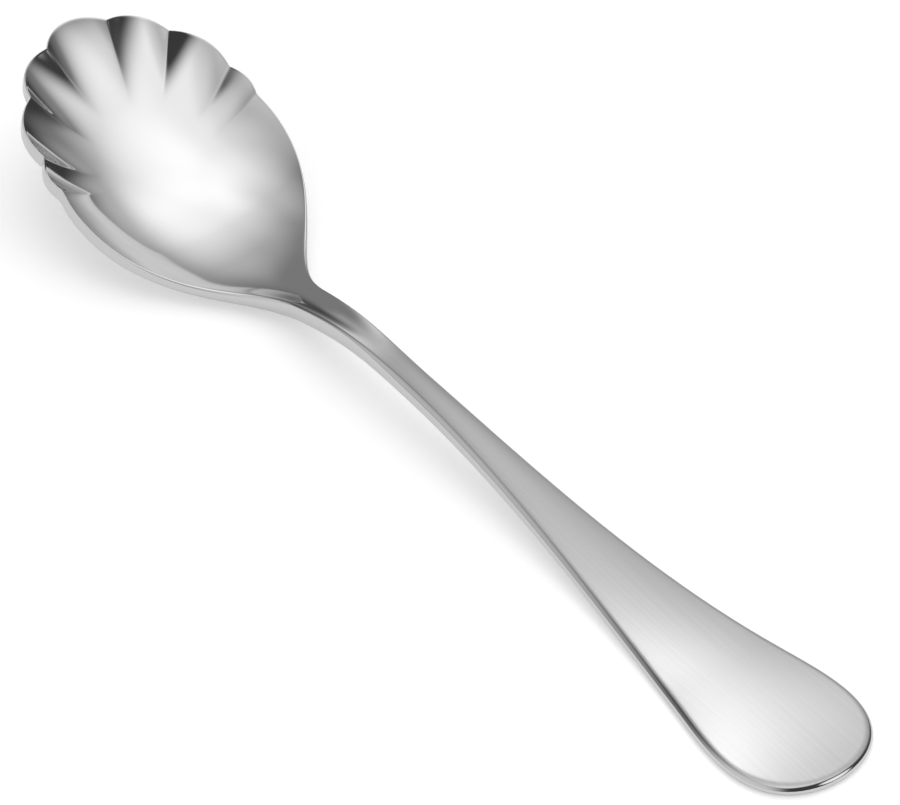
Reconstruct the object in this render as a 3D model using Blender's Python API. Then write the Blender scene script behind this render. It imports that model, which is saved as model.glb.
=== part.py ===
"""Sugar shell: a small serving spoon with a fluted, scallop-rimmed bowl, a slim neck and a flaring handle.

The spoon lies along X with the tip of the bowl at -X, symmetrical about Y = 0, resting on Z = 0.
Sizes are in millimetres. "Along" is the distance from the tip of the bowl towards the end of the handle.
"""

import math
from collections import namedtuple

import bmesh
import bpy

MM = 0.001

# Overall
LENGTH = 152.0
BOWL_SEAM_ALONG = 50.0
HANDLE_SEAM_ALONG = 66.0

# Plan of the bowl
BOWL_WIDEST_ALONG = 22.5
BOWL_HALF_WIDTH = 16.6
SHOULDER_LENGTH = 30.0
SHOULDER_POWER = 2.55
NOTCH_ANGLES = (18.0, 45.2, 71.8, 85.7)
LOBE_ROUNDING = 0.151
PLAIN_RIM_STEP = 0.45
PLAIN_RIM_STEP_RUN = 4.0

# Hollow of the bowl: a smooth dish, cut off by the plan and pushed outwards by the flutes
DISH_ALONG = 32.0
TIP_HEIGHT = 18.6
SEAM_HEIGHT = 4.4
TIP_SIDE_RISE = 8.4
SEAM_SIDE_RISE = 4.4
DISH_TIP_POWER = 1.84
DISH_HEEL_POWER = 1.98
DISH_SIDE_POWER = 2.6
DISH_SOFTNESS = 0.36
HEEL_ALONG = 42.4
BOWL_WALL = 1.4
FLUTE_START = 0.60
FLUTE_FULL = 1.13

# Rim of the bowl, cut nearly upright
RIM_SETBACK = 0.4
RIM_UNDER_SETBACK = 0.1
RIM_ROUND = 0.25

# Neck
NECK_HALF_WIDTH = 2.17
NECK_ROOT_HALF_WIDTH = 3.0
NECK_THICKNESS = 2.6
NECK_CREST_ALONG = 66.0
NECK_CREST_HEIGHT = 7.1
NECK_SEAM_SLOPE = 0.33

# Handle
HANDLE_THICKNESS = 2.0
HANDLE_FLARE = 8.4
FLARE_POWER = 2.19
FLARE_END_ALONG = 140.0
END_ROUND_LENGTH = 18.9
END_ROUND_POWER = 2.6
FLAT_START_ALONG = 130.0
EDGE_ROUND = 0.5

# Fineness of the mesh
LOBE_STEPS = 8
PLAIN_RIM_STEPS = 14
TOP_STEPS = 4
EDGE_STEPS = 6
WALL_STEPS = 13
NECK_STEPS = 8
HANDLE_STEPS = 20
END_STEPS = 12
SLOPE_STEP = 0.01
END_TRIM = 0.002
WELD_DISTANCE = 0.002

POLISHED_STEEL = (0.72, 0.72, 0.71, 1.0)
SATIN_STEEL = (0.60, 0.60, 0.59, 1.0)

TIP_LOBE_CHORD = 2.0 * BOWL_HALF_WIDTH * math.sin(math.radians(NOTCH_ANGLES[0]))
NOTCH_REACH = BOWL_WIDEST_ALONG - LOBE_ROUNDING * TIP_LOBE_CHORD

Column = namedtuple("Column", "along across out_x out_y bulge heel rounded")


def mixed(first, second, part):
    return first + (second - first) * part


def ease(part):
    """Smooth step from 0 to 1, level at both ends."""
    part = min(max(part, 0.0), 1.0)
    return part * part * (3.0 - 2.0 * part)


def soft_power(part, power):
    """0 at part 0 and 1 at part 1, rising by a power and level at the start whatever the power."""
    soft = DISH_SOFTNESS**2
    start = soft ** (0.5 * power)
    return ((part * part + soft) ** (0.5 * power) - start) / ((1.0 + soft) ** (0.5 * power) - start)


def side_rise(along, across):
    """How far the dish rises above its middle line."""
    full_rise = mixed(TIP_SIDE_RISE, SEAM_SIDE_RISE, along / BOWL_SEAM_ALONG)
    return full_rise * soft_power(across / BOWL_HALF_WIDTH, DISH_SIDE_POWER)


def dish_height(along, across):
    """Upper surface of the bowl without its flutes."""
    to_tip = max(DISH_ALONG - along, 0.0) / DISH_ALONG
    to_seam = max(along - DISH_ALONG, 0.0) / (BOWL_SEAM_ALONG - DISH_ALONG)
    tip_rise = (TIP_HEIGHT - BOWL_WALL) * soft_power(to_tip, DISH_TIP_POWER)
    heel_rise = (SEAM_HEIGHT - BOWL_WALL) * soft_power(to_seam, DISH_HEEL_POWER)
    return BOWL_WALL + tip_rise + heel_rise + side_rise(along, across)


def dish_steepness(along, across):
    """Slope of the dish in its steepest direction."""
    ahead = dish_height(along + SLOPE_STEP, across) - dish_height(along - SLOPE_STEP, across)
    aside = dish_height(along, across + SLOPE_STEP) - dish_height(along, across - SLOPE_STEP)
    return math.hypot(ahead, aside) / (2.0 * SLOPE_STEP)


def centre_height(along):
    """Top of the neck and the handle on the middle line."""
    if along < NECK_CREST_ALONG:
        run = NECK_CREST_ALONG - BOWL_SEAM_ALONG
        part = (along - BOWL_SEAM_ALONG) / run
        lift = NECK_SEAM_SLOPE * run * part * (1.0 - part) ** 2
        return mixed(SEAM_HEIGHT, NECK_CREST_HEIGHT, ease(part)) + lift
    fall = ease((along - NECK_CREST_ALONG) / (FLAT_START_ALONG - NECK_CREST_ALONG))
    return mixed(NECK_CREST_HEIGHT, HANDLE_THICKNESS, fall)


def thickness(along):
    """Metal thickness of the neck and the handle."""
    thinning = ease((along - BOWL_SEAM_ALONG) / (FLAT_START_ALONG - BOWL_SEAM_ALONG))
    return mixed(NECK_THICKNESS, HANDLE_THICKNESS, thinning)


def notch_point(angle):
    """Place and outward direction on the ellipse through the notches, the angle measured from the tip."""
    out_x = -BOWL_HALF_WIDTH * math.cos(angle)
    out_y = NOTCH_REACH * math.sin(angle)
    size = math.hypot(out_x, out_y)
    along = BOWL_WIDEST_ALONG - NOTCH_REACH * math.cos(angle)
    return along, BOWL_HALF_WIDTH * math.sin(angle), out_x / size, out_y / size


def plain_step(along):
    """How far the plain rim stands outside the notches, swelling up from the last one."""
    last_notch = notch_point(math.radians(NOTCH_ANGLES[-1]))[0]
    left = max(1.0 - (along - last_notch) / PLAIN_RIM_STEP_RUN, 0.0)
    return PLAIN_RIM_STEP * (1.0 - left**2)


def half_width(along):
    """Half the width of the plan outline, from the widest place of the bowl to the end of the handle."""
    narrowing = ease((along - HEEL_ALONG) / (HANDLE_SEAM_ALONG - HEEL_ALONG))
    stem = mixed(NECK_ROOT_HALF_WIDTH, NECK_HALF_WIDTH, narrowing)
    shoulder = min(max((along - BOWL_WIDEST_ALONG) / SHOULDER_LENGTH, 0.0), 1.0)
    bowl = (1.0 - shoulder**SHOULDER_POWER) ** SHOULDER_POWER
    width = mixed(stem, BOWL_HALF_WIDTH + plain_step(along), bowl)
    flare = max((along - HANDLE_SEAM_ALONG) / (FLARE_END_ALONG - HANDLE_SEAM_ALONG), 0.0)
    width += HANDLE_FLARE * flare**FLARE_POWER
    closing = max((along - (LENGTH - END_ROUND_LENGTH)) / END_ROUND_LENGTH, 0.0)
    return width * math.sqrt(max(1.0 - closing**END_ROUND_POWER, 0.0))


def outline_normal(along):
    """Outward direction of the plan outline on the +Y side."""
    ahead = min(along + SLOPE_STEP, LENGTH)
    behind = along - SLOPE_STEP
    run = ahead - behind
    rise = half_width(ahead) - half_width(behind)
    size = math.hypot(run, rise)
    return -rise / size, run / size


def lobed_columns():
    """Columns of the scalloped half of the rim, from the tip along the +Y side."""
    columns = []
    first = -NOTCH_ANGLES[0]
    for last in NOTCH_ANGLES:
        start = notch_point(math.radians(first))
        end = notch_point(math.radians(last))
        chord = math.hypot(end[0] - start[0], end[1] - start[1])
        for step in range(LOBE_STEPS):
            across_lobe = step / LOBE_STEPS
            bulge = LOBE_ROUNDING * chord * 4.0 * across_lobe * (1.0 - across_lobe)
            place = notch_point(math.radians(mixed(first, last, across_lobe)))
            columns.append(Column(*place, bulge, 0.0, True))
        first = last
    return columns[LOBE_STEPS // 2 :]


def plain_columns():
    """Columns of the plain rim on the +Y side, from the last notch to the seam with the neck."""
    last_notch = math.radians(NOTCH_ANGLES[-1])
    start = notch_point(last_notch)[0]
    columns = []
    for step in range(PLAIN_RIM_STEPS + 1):
        along = mixed(start, BOWL_SEAM_ALONG, step / PLAIN_RIM_STEPS)
        bulge = 0.0
        if along < BOWL_WIDEST_ALONG:
            place = notch_point(math.acos((BOWL_WIDEST_ALONG - along) / NOTCH_REACH))
            bulge = plain_step(along)
        elif step < PLAIN_RIM_STEPS:
            place = (along, half_width(along), *outline_normal(along))
        else:
            place = (along, half_width(along), 0.0, 1.0)
        heel = ease((along - BOWL_WIDEST_ALONG) / (BOWL_SEAM_ALONG - BOWL_WIDEST_ALONG)) ** 2
        columns.append(Column(*place, bulge, heel, True))
    return columns


def seam_columns():
    """Columns of the flat butt face between its two corners, from the +Y side to the -Y side."""
    reach = half_width(BOWL_SEAM_ALONG) - EDGE_ROUND
    return [
        Column(BOWL_SEAM_ALONG, mixed(reach, -reach, step / TOP_STEPS), 1.0, 0.0, 0.0, 1.0, False)
        for step in range(1, TOP_STEPS)
    ]


def mirrored(column):
    return column._replace(across=-column.across, out_y=-column.out_y)


def rim_columns():
    """All columns once round the bowl, starting at the tip."""
    one_side = lobed_columns() + plain_columns()
    other_side = [mirrored(column) for column in reversed(one_side[1:])]
    return one_side + seam_columns() + other_side


def wall_place(column, share, setback):
    """Place in plan, part of the way from the middle of the dish to the rim, without the flutes."""
    inwards = mixed(setback, EDGE_ROUND, column.heel) if column.rounded else 0.0
    along = mixed(DISH_ALONG, column.along - column.out_x * inwards, share)
    return along, (column.across - column.out_y * inwards) * share


def flute_share(share):
    """How much of its full depth a flute has on the way to the rim."""
    full = ease((1.0 - FLUTE_START) / (FLUTE_FULL - FLUTE_START))
    return (ease((share - FLUTE_START) / (FLUTE_FULL - FLUTE_START)) / full) ** 2


def fluted(column, share, along, across, height):
    """The point, pushed outwards by the flutes."""
    push = column.bulge * flute_share(share)
    return along + column.out_x * push, across + column.out_y * push, height


def hollow_point(column, share):
    """Point of the upper surface of the bowl."""
    along, across = wall_place(column, share, RIM_SETBACK)
    return fluted(column, share, along, across, dish_height(along, across))


def outside_point(column, share):
    """Point of the lower surface of the bowl, one thickness of metal below the upper one."""
    along, across = wall_place(column, share, RIM_UNDER_SETBACK)
    metal = mixed(BOWL_WALL, NECK_THICKNESS, column.heel * share**2)
    lean = dish_steepness(along, across) * (1.0 - column.heel)
    height = dish_height(along, across) - metal * math.hypot(1.0, lean)
    return fluted(column, share, along, across, height)


def rim_point(column, turn):
    """Point of the rim's edge, from the upper surface (turn 0) to the lower one (turn pi)."""
    part = 0.5 + 0.5 * math.cos(turn)
    upper = hollow_point(column, 1.0)
    lower = outside_point(column, 1.0)
    along, across, height = (mixed(low, high, part) for low, high in zip(lower, upper))
    out = mixed(RIM_ROUND, EDGE_ROUND, column.heel) * math.sin(turn) if column.rounded else 0.0
    return along + column.out_x * out, across + column.out_y * out, height


def bowl_rings():
    """Rings from the middle of the upper surface, out over the rim and back under the bowl."""
    columns = rim_columns()
    shares = [(step + 0.5) / (WALL_STEPS + 0.5) for step in range(WALL_STEPS)] + [1.0]
    turns = [math.pi * step / EDGE_STEPS for step in range(1, EDGE_STEPS)]
    rings = [[hollow_point(column, share) for column in columns] for share in shares]
    rings += [[rim_point(column, turn) for column in columns] for turn in turns]
    rings += [[outside_point(column, share) for column in columns] for share in reversed(shares)]
    return rings


def trough(along, across):
    """How far the neck rises above its middle line where the bowl's hollow runs out on it."""
    left = 1.0 - ease((along - BOWL_SEAM_ALONG) / (HANDLE_SEAM_ALONG - BOWL_SEAM_ALONG))
    return left * side_rise(BOWL_SEAM_ALONG, across)


def strip_ring(along):
    """Section of the neck or the handle: upper face, one rounded side, lower face, other rounded side."""
    out_x, out_y = outline_normal(along)
    if along in (BOWL_SEAM_ALONG, HANDLE_SEAM_ALONG):
        out_x, out_y = 0.0, 1.0
    half = 0.5 * thickness(along)
    middle = centre_height(along) - half
    width = half_width(along)
    face_along = along - out_x * EDGE_ROUND
    face_half = max(width - out_y * EDGE_ROUND, 0.0)
    ring = []
    for side, turn_start in ((1.0, 0.0), (-1.0, math.pi)):
        for step in range(TOP_STEPS):
            across = side * mixed(-face_half, face_half, step / TOP_STEPS)
            ring.append((face_along, across, middle + side * half + trough(along, across)))
        edge_middle = middle + trough(along, face_half)
        for step in range(EDGE_STEPS):
            turn = turn_start + math.pi * step / EDGE_STEPS
            out = EDGE_ROUND * abs(math.sin(turn))
            across = side * (face_half + out_y * out)
            ring.append((face_along + out_x * out, across, edge_middle + half * math.cos(turn)))
    return ring


def neck_rings():
    return [
        strip_ring(mixed(BOWL_SEAM_ALONG, HANDLE_SEAM_ALONG, step / NECK_STEPS))
        for step in range(NECK_STEPS + 1)
    ]


def handle_rings():
    """Sections of the handle, even along the flare and closer together round the end."""
    end_start = LENGTH - END_ROUND_LENGTH
    places = [mixed(HANDLE_SEAM_ALONG, end_start, step / HANDLE_STEPS) for step in range(HANDLE_STEPS)]
    for step in range(END_STEPS):
        closing = math.sin(0.5 * math.pi * step / END_STEPS) ** (2.0 / END_ROUND_POWER)
        places.append(end_start + END_ROUND_LENGTH * closing)
    places.append(LENGTH - END_TRIM)
    return [strip_ring(along) for along in places]


def steel(name, colour, roughness):
    material = bpy.data.materials.new(name)
    material.use_nodes = True
    shader = material.node_tree.nodes["Principled BSDF"]
    shader.inputs["Base Color"].default_value = colour
    shader.inputs["Metallic"].default_value = 1.0
    shader.inputs["Roughness"].default_value = roughness
    return material


def lofted(name, rings, material):
    """A closed body through the rings, with the first and the last ring capped."""
    mesh = bpy.data.meshes.new(name)
    body = bmesh.new()
    loops = []
    for ring in rings:
        corners = [
            body.verts.new(((along - 0.5 * LENGTH) * MM, across * MM, height * MM))
            for along, across, height in ring
        ]
        loops.append([body.edges.new((corners[i - 1], corners[i])) for i in range(len(corners))])
    for first, second in zip(loops, loops[1:]):
        bmesh.ops.bridge_loops(body, edges=first + second)
    for ends in (loops[0], loops[-1]):
        bmesh.ops.edgeloop_fill(body, edges=ends)
    bmesh.ops.remove_doubles(body, verts=body.verts, dist=WELD_DISTANCE * MM)
    bmesh.ops.recalc_face_normals(body, faces=body.faces)
    body.to_mesh(mesh)
    body.free()
    mesh.materials.append(material)
    node = bpy.data.objects.new(name, mesh)
    bpy.context.scene.collection.objects.link(node)
    return node


def main():
    for old in list(bpy.data.objects):
        bpy.data.objects.remove(old, do_unlink=True)
    lofted("bowl", bowl_rings(), steel("polished_bowl_steel", POLISHED_STEEL, 0.06))
    lofted("neck", neck_rings(), steel("polished_neck_steel", POLISHED_STEEL, 0.08))
    lofted("handle", handle_rings(), steel("satin_handle_steel", SATIN_STEEL, 0.30))


main()
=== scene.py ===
"""Looks of the sugar shell: a polished, fluted bowl and neck with a satin handle, lying on a white table.

Sizes are in millimetres. "Along" is the distance from the tip of the bowl towards the end of the handle,
"across" the distance from the middle line, and the scene itself is in metres.
"""

import math
from collections import namedtuple

import bpy
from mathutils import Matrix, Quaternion, Vector


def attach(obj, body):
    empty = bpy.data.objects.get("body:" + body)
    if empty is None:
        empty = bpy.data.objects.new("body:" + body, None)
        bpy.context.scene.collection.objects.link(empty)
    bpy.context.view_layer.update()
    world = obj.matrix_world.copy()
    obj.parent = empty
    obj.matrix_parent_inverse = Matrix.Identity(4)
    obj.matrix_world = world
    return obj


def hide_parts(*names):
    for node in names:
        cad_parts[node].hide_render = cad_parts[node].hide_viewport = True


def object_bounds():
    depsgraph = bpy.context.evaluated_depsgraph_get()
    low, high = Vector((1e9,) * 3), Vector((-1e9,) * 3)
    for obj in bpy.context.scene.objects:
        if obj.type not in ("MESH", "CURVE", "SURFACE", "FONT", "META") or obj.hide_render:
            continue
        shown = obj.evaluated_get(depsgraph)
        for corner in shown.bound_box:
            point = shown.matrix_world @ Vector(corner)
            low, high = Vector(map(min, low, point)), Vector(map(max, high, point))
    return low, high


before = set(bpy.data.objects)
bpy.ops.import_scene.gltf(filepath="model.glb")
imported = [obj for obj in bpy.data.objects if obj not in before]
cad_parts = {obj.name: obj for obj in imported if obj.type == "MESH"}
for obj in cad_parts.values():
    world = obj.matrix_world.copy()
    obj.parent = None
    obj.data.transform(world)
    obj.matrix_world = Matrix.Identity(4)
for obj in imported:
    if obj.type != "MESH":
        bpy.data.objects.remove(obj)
cad_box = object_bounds()

MM = 0.001

# Overall, as in the solids
LENGTH = 152.0
BOWL_SEAM_ALONG = 50.0
HANDLE_SEAM_ALONG = 66.0

# Plan of the bowl
BOWL_WIDEST_ALONG = 22.5
BOWL_HALF_WIDTH = 16.6
SHOULDER_LENGTH = 30.0
SHOULDER_POWER = 2.55
NOTCH_ANGLES = (18.0, 45.2, 71.8, 85.7)
LOBE_ROUNDING = 0.151
RIDGE_ROUNDING = 0.15
PLAIN_RIM_STEP = 0.45
PLAIN_RIM_STEP_RUN = 4.0

# Hollow of the bowl: a smooth dish, cut off by the plan and pushed outwards by the flutes
DISH_ALONG = 32.0
TIP_HEIGHT = 18.6
SEAM_HEIGHT = 4.4
TIP_SIDE_RISE = 8.4
SEAM_SIDE_RISE = 4.4
DISH_TIP_POWER = 1.84
DISH_HEEL_POWER = 1.98
DISH_SIDE_POWER = 2.6
DISH_SOFTNESS = 0.36
HEEL_ALONG = 42.4
BOWL_WALL = 1.4
FLUTE_START = 0.45
FLUTE_FULL = 1.13
FLUTE_POWER = 1.2
FLUTE_CENTRE_ALONG = 20.0

# Rim of the bowl: its edge is cut nearly upright and its corners are rounded
RIM_SETBACK = 0.5
RIM_UNDER_SETBACK = 0.2
RIM_ROUND = 0.22
RIM_TILT = 40.0
RIM_CORNER = 0.6

# Neck, with the shallow groove in which the bowl's hollow runs out
NECK_HALF_WIDTH = 2.17
NECK_ROOT_HALF_WIDTH = 3.0
NECK_THICKNESS = 2.6
NECK_CREST_ALONG = 66.0
NECK_CREST_HEIGHT = 7.1
NECK_SEAM_SLOPE = 0.33
GROOVE_DEPTH = 0.32
GROOVE_START_ALONG = 38.0
GROOVE_FULL_ALONG = 50.0
GROOVE_FADE_ALONG = 58.0
GROOVE_END_ALONG = 67.0

# Handle, with a soft crown
HANDLE_THICKNESS = 2.0
HANDLE_FLARE = 8.4
FLARE_POWER = 2.19
FLARE_END_ALONG = 140.0
END_ROUND_LENGTH = 18.9
END_ROUND_POWER = 2.6
END_TRIM = 0.004
FLAT_START_ALONG = 130.0
EDGE_ROUND = 0.5
TOP_EDGE_ROUND = 0.9
EDGE_DROP = 0.4
CROWN_START_ALONG = 58.0
CROWN_FULL_ALONG = 74.0
CROWN_DROP = 0.55

# Finishes; the streaks of the brushing are drawn coarser than the real scratches, as bands of them.
# A surface that leans further than EDGE_RISE (the upward part of its normal) is polished, as the edges are.
POLISHED_COLOUR = "C2C2C2"
POLISHED_ROUGHNESS = 0.07
# The brushed steel's colour is darker than the steel's own colour: painted shade on the top of the neck and
# the handle
SATIN_COLOUR_WITH_PAINTED_SHADE = "989898"
SATIN_ROUGHNESS = 0.38
SATIN_ANISOTROPY = 0.7
SATIN_START_ALONG = 59.0
SATIN_FULL_ALONG = 70.0
STREAK_LENGTH = 30.0
STREAK_WIDTH = 0.30
STREAK_CONTRAST = 0.16
BRUSHED = "brushed"
EDGE_RISE = 0.78
TOP_RISE = 0.95

# Fineness of the meshes, and the angle in degrees up to which edges are shaded smooth
LOBE_STEPS = 40
PLAIN_RIM_STEPS = 84
SEAM_STEPS = 12
INSIDE_STEPS = 100
EDGE_STEPS = 20
OUTSIDE_STEPS = 44
SECTION_STEPS = 24
NECK_STEPS = 64
HANDLE_STEPS = 130
END_STEPS = 44
SLOPE_STEP = 0.01
WELD_DISTANCE = 0.0005
SMOOTH_ANGLE = 40.0

# Sizes that follow from the ones above
END_DEPTH = 2.0 * END_ROUND_LENGTH / END_ROUND_POWER
TIP_LOBE_CHORD = 2.0 * BOWL_HALF_WIDTH * math.sin(math.radians(NOTCH_ANGLES[0]))
NOTCH_REACH = BOWL_WIDEST_ALONG - LOBE_ROUNDING * TIP_LOBE_CHORD

# Camera of the photograph: its direction from the target and its roll are in degrees
CAMERA_AZIMUTH = -43.307
CAMERA_ELEVATION = 43.243
CAMERA_ROLL = 4.253
CAMERA_DISTANCE = 680.0
CAMERA_TARGET = (2.856, 0.505, 6.551)
CAMERA_LENS = 217.6
SENSOR_WIDTH = 36.0

# The soft box overhead: each edge goes from dark to bright along X or Y, in shares of the height of the box
Edge = namedtuple("Edge", "axis dark bright")
PANEL_EDGES = (
    Edge("X", -1.27, 0.17),
    Edge("X", 0.90, 0.45),
    Edge("Y", -0.91, -0.09),
    Edge("Y", 1.97, 0.09),
)
PANEL_LEVEL = 1.45
HORIZON_RISE = 0.001

# Round patches of light around it, in degrees, and the dim room between them
Glow = namedtuple("Glow", "azimuth elevation full_angle edge_angle level")
GLOWS = (
    Glow(-88.0, 18.0, 14.0, 58.0, 0.90),
    Glow(27.0, 23.0, 12.0, 19.0, 1.40),
    Glow(103.0, 53.0, 20.0, 46.0, 0.38),
    Glow(130.0, 50.0, 5.0, 31.0, 0.32),
    Glow(162.0, 30.0, 6.0, 39.0, 0.26),
    Glow(118.0, 30.0, 4.0, 31.0, 0.40),
    Glow(195.0, 68.0, 4.0, 25.0, 0.24),
)
ROOM_LEVEL = 0.07

# The lamp that brightens the end of the handle
LAMP_PLACE = (-390.0, 302.0, 838.0)
LAMP_TARGET = (68.0, 0.0, 2.0)
LAMP_SIZE = 60.0
LAMP_SPREAD = 4.5
LAMP_WATTS = 0.0014

# The table; its lift is the light that makes it white to the camera and in the metal
TABLE_COLOUR = "D9D9D9"
TABLE_ROUGHNESS = 0.9
TABLE_RADIUS = 2500.0
TABLE_CORNERS = 96
TABLE_GAP = 0.02
TABLE_LIFT = 0.41
WHITE = "FFFFFF"

# A column of points of the bowl, from its middle to this place on the rim and its outward direction
Column = namedtuple("Column", "along across out_x out_y bulge heel rounded")


def mixed(first, second, part):
    """The first value at part 0, the second at part 1, and in proportion between them."""
    return first + (second - first) * part


def ease(part):
    """Smooth step from 0 to 1, level at both ends."""
    part = min(max(part, 0.0), 1.0)
    return part * part * (3.0 - 2.0 * part)


def soft_power(part, power):
    """0 at part 0 and 1 at part 1, rising by a power and level at the start whatever the power."""
    soft = DISH_SOFTNESS**2
    start = soft ** (0.5 * power)
    return ((part * part + soft) ** (0.5 * power) - start) / ((1.0 + soft) ** (0.5 * power) - start)


def side_rise(along, across):
    """How far the dish rises above its middle line."""
    full_rise = mixed(TIP_SIDE_RISE, SEAM_SIDE_RISE, along / BOWL_SEAM_ALONG)
    return full_rise * soft_power(across / BOWL_HALF_WIDTH, DISH_SIDE_POWER)


def dish_height(along, across):
    """Upper surface of the bowl without its flutes."""
    to_tip = max(DISH_ALONG - along, 0.0) / DISH_ALONG
    to_seam = max(along - DISH_ALONG, 0.0) / (BOWL_SEAM_ALONG - DISH_ALONG)
    tip_rise = (TIP_HEIGHT - BOWL_WALL) * soft_power(to_tip, DISH_TIP_POWER)
    heel_rise = (SEAM_HEIGHT - BOWL_WALL) * soft_power(to_seam, DISH_HEEL_POWER)
    return BOWL_WALL + tip_rise + heel_rise + side_rise(along, across)


def dish_steepness(along, across):
    """Slope of the dish in its steepest direction."""
    ahead = dish_height(along + SLOPE_STEP, across) - dish_height(along - SLOPE_STEP, across)
    aside = dish_height(along, across + SLOPE_STEP) - dish_height(along, across - SLOPE_STEP)
    return math.hypot(ahead, aside) / (2.0 * SLOPE_STEP)


def centre_height(along):
    """Top of the neck and the handle on the middle line."""
    if along < NECK_CREST_ALONG:
        run = NECK_CREST_ALONG - BOWL_SEAM_ALONG
        part = (along - BOWL_SEAM_ALONG) / run
        lift = NECK_SEAM_SLOPE * run * part * (1.0 - part) ** 2
        return mixed(SEAM_HEIGHT, NECK_CREST_HEIGHT, ease(part)) + lift
    fall = ease((along - NECK_CREST_ALONG) / (FLAT_START_ALONG - NECK_CREST_ALONG))
    return mixed(NECK_CREST_HEIGHT, HANDLE_THICKNESS, fall)


def trough(along, across):
    """How far the neck rises above its middle line where the bowl's hollow runs out on it."""
    left = 1.0 - ease((along - BOWL_SEAM_ALONG) / (HANDLE_SEAM_ALONG - BOWL_SEAM_ALONG))
    return left * side_rise(BOWL_SEAM_ALONG, across)


def thickness(along):
    """Metal thickness of the neck and the handle."""
    thinning = ease((along - BOWL_SEAM_ALONG) / (FLAT_START_ALONG - BOWL_SEAM_ALONG))
    return mixed(NECK_THICKNESS, HANDLE_THICKNESS, thinning)


def notch_point(angle):
    """Place and outward direction on the ellipse through the notches, the angle measured from the tip."""
    out_x = -BOWL_HALF_WIDTH * math.cos(angle)
    out_y = NOTCH_REACH * math.sin(angle)
    size = math.hypot(out_x, out_y)
    along = BOWL_WIDEST_ALONG - NOTCH_REACH * math.cos(angle)
    return along, BOWL_HALF_WIDTH * math.sin(angle), out_x / size, out_y / size


def rounded_ridge(bulge):
    """A bulge that starts from a ridge with a small radius instead of a sharp one."""
    return math.hypot(bulge, RIDGE_ROUNDING) - RIDGE_ROUNDING


def shoulder_fall(along):
    """1 at the widest place of the bowl, falling to 0 where the shoulder has run into the neck."""
    shoulder = min(max((along - BOWL_WIDEST_ALONG) / SHOULDER_LENGTH, 0.0), 1.0)
    return (1.0 - shoulder**SHOULDER_POWER) ** SHOULDER_POWER


def plain_step(along):
    """How far the plain rim stands outside the notches, swelling up from the last one."""
    last_notch = notch_point(math.radians(NOTCH_ANGLES[-1]))[0]
    left = max(1.0 - (along - last_notch) / PLAIN_RIM_STEP_RUN, 0.0)
    return PLAIN_RIM_STEP * (1.0 - left**2) * shoulder_fall(along)


def open_half_width(along):
    """Half the width of the plan outline without the swelling of the plain rim and the rounded end."""
    narrowing = ease((along - HEEL_ALONG) / (HANDLE_SEAM_ALONG - HEEL_ALONG))
    stem = mixed(NECK_ROOT_HALF_WIDTH, NECK_HALF_WIDTH, narrowing)
    flare = max((along - HANDLE_SEAM_ALONG) / (FLARE_END_ALONG - HANDLE_SEAM_ALONG), 0.0)
    return stem + (BOWL_HALF_WIDTH - stem) * shoulder_fall(along) + HANDLE_FLARE * flare**FLARE_POWER


def end_closing(along):
    """0 up to where the end of the handle starts to round, 1 at the very end."""
    closing = max((along - (LENGTH - END_ROUND_LENGTH)) / END_ROUND_LENGTH, 0.0)
    return min(closing, 1.0) ** END_ROUND_POWER


def outline_normal(along):
    """Outward direction of the bowl's plan outline on the +Y side."""
    rise = open_half_width(along + SLOPE_STEP) - open_half_width(along - SLOPE_STEP)
    size = math.hypot(2.0 * SLOPE_STEP, rise)
    return -rise / size, 2.0 * SLOPE_STEP / size


def groove(along, across):
    """Depth of the shallow hollow that runs from the bowl's heel along the top of the neck."""
    coming = ease((along - GROOVE_START_ALONG) / (GROOVE_FULL_ALONG - GROOVE_START_ALONG))
    going = ease((along - GROOVE_FADE_ALONG) / (GROOVE_END_ALONG - GROOVE_FADE_ALONG))
    reach = open_half_width(along) - EDGE_ROUND
    left = max(1.0 - (across / reach) ** 2, 0.0)
    return GROOVE_DEPTH * coming * (1.0 - going) * left**2


def lobed_columns():
    """Columns of the scalloped rim, from the tip along the +Y side, closer together at the ridges."""
    columns = []
    first = -NOTCH_ANGLES[0]
    for last in NOTCH_ANGLES:
        start = notch_point(math.radians(first))
        end = notch_point(math.radians(last))
        chord = math.hypot(end[0] - start[0], end[1] - start[1])
        for step in range(LOBE_STEPS):
            across_lobe = 0.5 - 0.5 * math.cos(math.pi * step / LOBE_STEPS)
            bulge = rounded_ridge(LOBE_ROUNDING * chord * 4.0 * across_lobe * (1.0 - across_lobe))
            place = notch_point(math.radians(mixed(first, last, across_lobe)))
            columns.append(Column(*place, bulge, 0.0, True))
        first = last
    return columns[LOBE_STEPS // 2 :]


def plain_columns():
    """Columns of the plain rim on the +Y side, from the last notch to the seam with the neck."""
    start = notch_point(math.radians(NOTCH_ANGLES[-1]))[0]
    columns = []
    for step in range(PLAIN_RIM_STEPS + 1):
        along = mixed(start, BOWL_SEAM_ALONG, step / PLAIN_RIM_STEPS)
        if along < BOWL_WIDEST_ALONG:
            place = notch_point(math.acos((BOWL_WIDEST_ALONG - along) / NOTCH_REACH))
        elif step < PLAIN_RIM_STEPS:
            place = (along, open_half_width(along), *outline_normal(along))
        else:
            place = (along, open_half_width(along), 0.0, 1.0)
        heel = ease((along - BOWL_WIDEST_ALONG) / (BOWL_SEAM_ALONG - BOWL_WIDEST_ALONG)) ** 2
        columns.append(Column(*place, rounded_ridge(plain_step(along)), heel, True))
    return columns


def seam_columns():
    """Columns of the butt face between its two corners, from the +Y side to the -Y side."""
    reach = open_half_width(BOWL_SEAM_ALONG) - EDGE_ROUND
    return [
        Column(BOWL_SEAM_ALONG, mixed(reach, -reach, step / SEAM_STEPS), 1.0, 0.0, 0.0, 1.0, False)
        for step in range(1, SEAM_STEPS)
    ]


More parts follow.
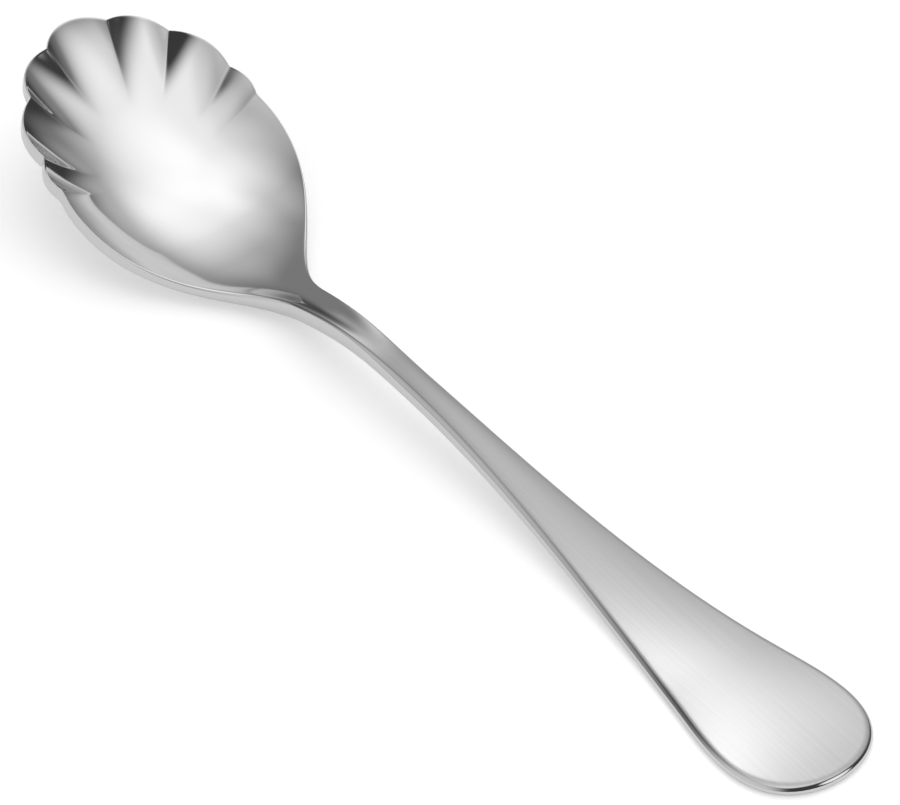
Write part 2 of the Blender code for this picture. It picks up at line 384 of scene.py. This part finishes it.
def rim_columns():
    """All columns once round the bowl, starting at the tip."""
    one_side = lobed_columns() + plain_columns()
    other_side = [column._replace(across=-column.across, out_y=-column.out_y) for column in one_side[:0:-1]]
    return one_side + seam_columns() + other_side


def wall_place(column, share, setback):
    """Place in plan, part of the way from the middle of the dish to the rim, without the flutes."""
    inwards = mixed(setback, EDGE_ROUND, column.heel) if column.rounded else 0.0
    along = mixed(FLUTE_CENTRE_ALONG, column.along - column.out_x * inwards, share)
    return along, (column.across - column.out_y * inwards) * share


def flute_share(share):
    """How much of its full depth a flute has on the way to the rim."""
    full = ease((1.0 - FLUTE_START) / (FLUTE_FULL - FLUTE_START))
    return (ease((share - FLUTE_START) / (FLUTE_FULL - FLUTE_START)) / full) ** FLUTE_POWER


def fluted(column, share, along, across, height):
    """The point, pushed outwards by the flutes."""
    push = column.bulge * flute_share(share)
    return along + column.out_x * push, across + column.out_y * push, height


def hollow_point(column, share):
    """Point of the upper surface of the bowl."""
    along, across = wall_place(column, share, RIM_SETBACK)
    height = dish_height(along, across) - groove(along, across)
    return fluted(column, share, along, across, height)


def outside_point(column, share):
    """Point of the lower surface of the bowl, one thickness of metal below the upper one."""
    along, across = wall_place(column, share, RIM_UNDER_SETBACK)
    to_seam = max(along - DISH_ALONG, 0.0) / (BOWL_SEAM_ALONG - DISH_ALONG)
    metal = mixed(BOWL_WALL, NECK_THICKNESS, column.heel * to_seam**2)
    lean = dish_steepness(along, across) * (1.0 - column.heel)
    height = dish_height(along, across) - metal * math.hypot(1.0, lean)
    return fluted(column, share, along, across, height)


def rim_point(column, turn):
    """Point of the rim's edge, from the upper surface (turn 0) round to the lower one (turn pi)."""
    upper = hollow_point(column, 1.0)
    lower = outside_point(column, 1.0)
    corner = mixed(RIM_CORNER, 1.0, column.heel)
    side = math.copysign(abs(math.cos(turn)) ** corner, math.cos(turn))
    out = 0.0
    if column.rounded:
        out = mixed(RIM_ROUND, EDGE_ROUND, column.heel) * math.sin(turn) ** corner
    tilt = math.radians(RIM_TILT) * (1.0 - column.heel)
    along, across, height = (mixed(low, high, 0.5 + 0.5 * side) for low, high in zip(lower, upper))
    level = out * math.cos(tilt)
    return along + column.out_x * level, across + column.out_y * level, height + out * math.sin(tilt)


def section_height(along, level, upper):
    """Place across and height of the neck's or the handle's surface, at a level from -1 to 1 across it."""
    half_width = open_half_width(along)
    closing = end_closing(along)
    across = level * half_width * math.sqrt(1.0 - closing)
    inside = math.sqrt(level**2 * (1.0 - closing) + closing)
    to_edge = (1.0 - inside) * mixed(half_width, END_DEPTH, closing)
    half = 0.5 * thickness(along)
    middle = centre_height(along) - half + trough(along, min(abs(across), half_width - EDGE_ROUND))
    crowned = ease((along - CROWN_START_ALONG) / (CROWN_FULL_ALONG - CROWN_START_ALONG))
    edge = -EDGE_DROP * crowned
    if upper:
        rise = half - edge - groove(along, across) - crowned * CROWN_DROP * inside**2
        rounding = mixed(EDGE_ROUND, TOP_EDGE_ROUND, crowned)
    else:
        rise = -half - edge
        rounding = EDGE_ROUND
    beyond = max(1.0 - to_edge / rounding, 0.0)
    return across, middle + edge + rise * math.sqrt(1.0 - beyond**2)


def section_ring(along):
    """Section of the neck or the handle, over the top from -Y to +Y and back along the underside."""
    ring = []
    for upper in (True, False):
        for step in range(-SECTION_STEPS, SECTION_STEPS):
            level = math.sin(0.5 * math.pi * step / SECTION_STEPS)
            if not upper:
                level = -level
            ring.append((along, *section_height(along, level, upper)))
    return ring


def wrapped_sheet(name, rows):
    """A flat grid wrapped into a tube: each row of points goes once round, and rows follow one another."""
    bpy.ops.object.select_all(action="DESELECT")
    around = len(rows[0])
    bpy.ops.mesh.primitive_grid_add(x_subdivisions=around, y_subdivisions=len(rows) - 1, size=1.0)
    sheet = bpy.context.object
    sheet.name = name
    for corner in sheet.data.vertices:
        place = round((corner.co.x + 0.5) * around) % around
        row = round((corner.co.y + 0.5) * (len(rows) - 1))
        along, across, height = rows[row][place]
        corner.co = Vector((along - 0.5 * LENGTH, across, height)) * MM
    bpy.ops.object.mode_set(mode="EDIT")
    bpy.ops.mesh.select_all(action="SELECT")
    bpy.ops.mesh.remove_doubles(threshold=WELD_DISTANCE * MM)
    bpy.ops.mesh.select_all(action="DESELECT")
    bpy.ops.mesh.select_non_manifold()
    if sheet.data.total_edge_sel:
        bpy.ops.mesh.edge_face_add()
    bpy.ops.mesh.select_all(action="SELECT")
    bpy.ops.mesh.normals_make_consistent(inside=False)
    bpy.ops.object.mode_set(mode="OBJECT")
    bpy.ops.object.shade_smooth_by_angle(angle=math.radians(SMOOTH_ANGLE))
    return sheet


def make_bowl():
    """The bowl, from the middle of its hollow over the rim to the middle of its underside."""
    columns = rim_columns()
    rows = []
    for step in range(INSIDE_STEPS + 1):
        rows.append([hollow_point(column, step / INSIDE_STEPS) for column in columns])
    for step in range(1, EDGE_STEPS):
        rows.append([rim_point(column, math.pi * step / EDGE_STEPS) for column in columns])
    for step in range(OUTSIDE_STEPS + 1):
        rows.append([outside_point(column, 1.0 - step / OUTSIDE_STEPS) for column in columns])
    return wrapped_sheet("bowl_shell", rows)


def make_neck():
    """The neck, between its two butt faces."""
    rows = []
    for step in range(NECK_STEPS + 1):
        rows.append(section_ring(mixed(BOWL_SEAM_ALONG, HANDLE_SEAM_ALONG, step / NECK_STEPS)))
    return wrapped_sheet("neck_stem", rows)


def make_handle():
    """The handle, from its butt face to the rounded end, where the sections lie closer together."""
    end_start = LENGTH - END_ROUND_LENGTH
    stations = [mixed(HANDLE_SEAM_ALONG, end_start, step / HANDLE_STEPS) for step in range(HANDLE_STEPS)]
    for step in range(END_STEPS + 1):
        closing = math.sin(0.5 * math.pi * step / END_STEPS) ** (2.0 / END_ROUND_POWER)
        stations.append(min(end_start + END_ROUND_LENGTH * closing, LENGTH - END_TRIM))
    return wrapped_sheet("handle_grip", [section_ring(along) for along in stations])


def linear(hex_colour):
    """Linear red, green, blue and alpha of an sRGB colour written as six hex digits."""
    shown = [int(hex_colour[start : start + 2], 16) / 255.0 for start in (0, 2, 4)]
    return [part / 12.92 if part <= 0.04045 else ((part + 0.055) / 1.055) ** 2.4 for part in shown] + [1.0]


def add_node(tree, kind, links=None, values=None, **settings):
    """Adds a node, sets its settings and input values, and links its inputs."""
    added = tree.nodes.new(kind)
    for name, value in settings.items():
        setattr(added, name, value)
    for name, value in (values or {}).items():
        added.inputs[name].default_value = value
    for name, socket in (links or {}).items():
        tree.links.new(socket, added.inputs[name])
    return added


def math_node(tree, operation, first, second):
    """Adds a sum, product or the like of two sockets or numbers, and gives its result."""
    added = add_node(tree, "ShaderNodeMath", operation=operation)
    for place, value in enumerate((first, second)):
        if isinstance(value, float):
            added.inputs[place].default_value = value
        else:
            tree.links.new(value, added.inputs[place])
    return added.outputs["Value"]


def soft_edge(tree, value, dark, bright):
    """Smooth step of a socket from 0 where it is dark to 1 where it is bright."""
    step = add_node(
        tree,
        "ShaderNodeMapRange",
        links={"Value": value},
        values={"From Min": dark, "From Max": bright},
        interpolation_type="SMOOTHSTEP",
    )
    return step.outputs["Result"]


def new_finish(name):
    """A new material with its node tree and its shader."""
    material = bpy.data.materials.new(name)
    material.use_nodes = True
    return material, material.node_tree, material.node_tree.nodes["Principled BSDF"]


def polished_steel():
    """Mirror-polished stainless steel: clear reflections, softened a little by the buffing."""
    material, _, shader = new_finish("polished_stainless_steel")
    shader.inputs["Base Color"].default_value = linear(POLISHED_COLOUR)
    shader.inputs["Metallic"].default_value = 1.0
    shader.inputs["Roughness"].default_value = POLISHED_ROUGHNESS
    return material


def brushed_share(tree, place):
    """0 where the steel is polished and 1 where it is brushed, which starts softly on the neck."""
    along = add_node(tree, "ShaderNodeSeparateXYZ", links={"Vector": place}).outputs["X"]
    starts = [(side - 0.5 * LENGTH) * MM for side in (SATIN_START_ALONG, SATIN_FULL_ALONG)]
    top = add_node(tree, "ShaderNodeAttribute", attribute_name=BRUSHED).outputs["Fac"]
    return math_node(tree, "MULTIPLY", soft_edge(tree, along, *starts), top)


def streak_level(tree, place, brushed):
    """Brightness of the streaks of the brushing, around 1."""
    scale = (1.0 / (STREAK_LENGTH * MM), 1.0 / (STREAK_WIDTH * MM), 0.0)
    drawn_out = add_node(tree, "ShaderNodeMapping", links={"Vector": place}, values={"Scale": scale})
    noise = add_node(
        tree,
        "ShaderNodeTexNoise",
        links={"Vector": drawn_out.outputs["Vector"]},
        values={"Scale": 1.0},
    )
    around_zero = math_node(tree, "SUBTRACT", noise.outputs["Fac"], 0.5)
    uneven = math_node(tree, "MULTIPLY", around_zero, STREAK_CONTRAST)
    return math_node(tree, "ADD", math_node(tree, "MULTIPLY", uneven, brushed), 1.0)


def satin_steel():
    """Stainless steel brushed along the handle: reflections are drawn out across the fine scratches, and
    the brushed top is coloured darker than the polished steel as painted shade.
    """
    material, tree, shader = new_finish("satin_brushed_stainless_steel")
    shader.inputs["Metallic"].default_value = 1.0
    shader.inputs["Anisotropic"].default_value = SATIN_ANISOTROPY
    place = add_node(tree, "ShaderNodeTexCoord").outputs["Object"]
    brushed = brushed_share(tree, place)
    rougher = math_node(tree, "MULTIPLY", brushed, SATIN_ROUGHNESS - POLISHED_ROUGHNESS)
    tree.links.new(math_node(tree, "ADD", rougher, POLISHED_ROUGHNESS), shader.inputs["Roughness"])
    # The brushed top takes the darker colour, which is painted shade; the polished edges keep the steel's
    # own colour
    colour = add_node(tree, "ShaderNodeValToRGB", links={"Fac": brushed})
    for stop, shown in zip(colour.color_ramp.elements, (POLISHED_COLOUR, SATIN_COLOUR_WITH_PAINTED_SHADE)):
        stop.color = linear(shown)
    streaked = add_node(
        tree,
        "ShaderNodeVectorMath",
        links={"Vector": colour.outputs["Color"], "Scale": streak_level(tree, place, brushed)},
        operation="SCALE",
    )
    tree.links.new(streaked.outputs["Vector"], shader.inputs["Base Color"])
    tangent = add_node(tree, "ShaderNodeTangent", direction_type="UV_MAP")
    tree.links.new(tangent.outputs["Tangent"], shader.inputs["Tangent"])
    return material


def mark_brushed(piece):
    """Marks how far each point of a piece can be brushed: its top is, its edges and underside are not."""
    brushed = piece.data.attributes.new(BRUSHED, "FLOAT", "POINT")
    seam = (HANDLE_SEAM_ALONG + WELD_DISTANCE - 0.5 * LENGTH) * MM
    for corner, mark in zip(piece.data.vertices, brushed.data):
        normal = corner.normal.copy()
        if corner.co.x < seam:
            # The butt faces lean the normals of their rims along the spoon, which is left out here
            normal.x = 0.0
            normal.normalize()
        mark.value = ease((normal.z - EDGE_RISE) / (TOP_RISE - EDGE_RISE))


def white_table():
    """Plain white board: matt, and lifted to white for the camera and for the rays from the metal."""
    material, tree, shader = new_finish("white_table")
    shader.inputs["Base Color"].default_value = linear(TABLE_COLOUR)
    shader.inputs["Roughness"].default_value = TABLE_ROUGHNESS
    shader.inputs["Specular IOR Level"].default_value = 0.0
    shader.inputs["Emission Color"].default_value = linear(WHITE)
    path = add_node(tree, "ShaderNodeLightPath").outputs
    seen = path["Is Camera Ray"]
    for kind in ("Is Glossy Ray", "Is Transmission Ray"):
        seen = math_node(tree, "MAXIMUM", seen, path[kind])
    lift = math_node(tree, "MULTIPLY", seen, TABLE_LIFT)
    tree.links.new(lift, shader.inputs["Emission Strength"])
    return material


def make_table():
    """The table top just under the spoon, which keeps the spoon's soft shadow."""
    bpy.ops.object.select_all(action="DESELECT")
    bpy.ops.mesh.primitive_circle_add(vertices=TABLE_CORNERS, radius=TABLE_RADIUS * MM, fill_type="NGON")
    table = bpy.context.object
    table.name = "table"
    for corner in table.data.vertices:
        corner.co.z = cad_box[0].z - TABLE_GAP * MM
    table.data.materials.append(white_table())


def direction(azimuth, elevation):
    """Unit vector, the azimuth measured from +X towards +Y and both angles in degrees."""
    flat = math.cos(math.radians(elevation))
    turn = math.radians(azimuth)
    return Vector((flat * math.cos(turn), flat * math.sin(turn), math.sin(math.radians(elevation))))


def soft_box(tree, view):
    """Level of the soft box overhead, as it is seen in each direction."""
    parts = add_node(tree, "ShaderNodeSeparateXYZ", links={"Vector": view}).outputs
    rise = math_node(tree, "MAXIMUM", parts["Z"], HORIZON_RISE)
    light = PANEL_LEVEL
    for edge in PANEL_EDGES:
        place = math_node(tree, "DIVIDE", parts[edge.axis], rise)
        light = math_node(tree, "MULTIPLY", soft_edge(tree, place, edge.dark, edge.bright), light)
    return light


def make_light_tent():
    """Soft light from overhead and a few dimmer patches round it in a dim room."""
    world = bpy.data.worlds.new("light_tent")
    world.use_nodes = True
    bpy.context.scene.world = world
    tree = world.node_tree
    view = add_node(tree, "ShaderNodeTexCoord").outputs["Generated"]
    light = math_node(tree, "ADD", soft_box(tree, view), ROOM_LEVEL)
    for glow in GLOWS:
        near = add_node(tree, "ShaderNodeVectorMath", operation="DOT_PRODUCT")
        tree.links.new(view, near.inputs[0])
        near.inputs[1].default_value = direction(glow.azimuth, glow.elevation)
        edge = math.cos(math.radians(glow.edge_angle))
        full = math.cos(math.radians(glow.full_angle))
        patch = math_node(tree, "MULTIPLY", soft_edge(tree, near.outputs["Value"], edge, full), glow.level)
        light = math_node(tree, "ADD", light, patch)
    tree.links.new(light, tree.nodes["Background"].inputs["Strength"])
    tree.nodes["Background"].inputs["Color"].default_value = linear(WHITE)


def make_lamp():
    """A lamp on the end of the handle, with a grid in front of it that keeps its light off the bowl."""
    data = bpy.data.lights.new("handle_lamp", "AREA")
    data.shape = "DISK"
    data.size = LAMP_SIZE * MM
    data.spread = math.radians(LAMP_SPREAD)
    data.energy = LAMP_WATTS
    lamp = bpy.data.objects.new("handle_lamp", data)
    bpy.context.scene.collection.objects.link(lamp)
    lamp.location = Vector(LAMP_PLACE) * MM
    lamp.rotation_euler = (Vector(LAMP_TARGET) - Vector(LAMP_PLACE)).to_track_quat("-Z", "Y").to_euler()


def make_camera():
    """The camera of the photograph, turned a little about its line of sight."""
    back = direction(CAMERA_AZIMUTH, CAMERA_ELEVATION)
    data = bpy.data.cameras.new("camera")
    data.sensor_fit = "HORIZONTAL"
    data.sensor_width = SENSOR_WIDTH
    data.lens = CAMERA_LENS
    camera = bpy.data.objects.new("camera", data)
    bpy.context.scene.collection.objects.link(camera)
    camera.location = (Vector(CAMERA_TARGET) + back * CAMERA_DISTANCE) * MM
    roll = Quaternion((0.0, 0.0, 1.0), math.radians(CAMERA_ROLL))
    camera.rotation_euler = ((-back).to_track_quat("-Z", "Y") @ roll).to_euler()
    bpy.context.scene.camera = camera


polished = polished_steel()
satin = satin_steel()
for piece, node, slot, finish in (
    (make_bowl(), "bowl", "polished_bowl_steel", polished),
    (make_neck(), "neck", "polished_neck_steel", satin),
    (make_handle(), "handle", "satin_handle_steel", satin),
):
    piece.data.materials.append(finish)
    if finish is satin:
        mark_brushed(piece)
    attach(piece, "root")
    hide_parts(node)

make_table()
make_light_tent()
make_lamp()
make_camera()
bpy.context.scene.view_settings.view_transform = "Standard"
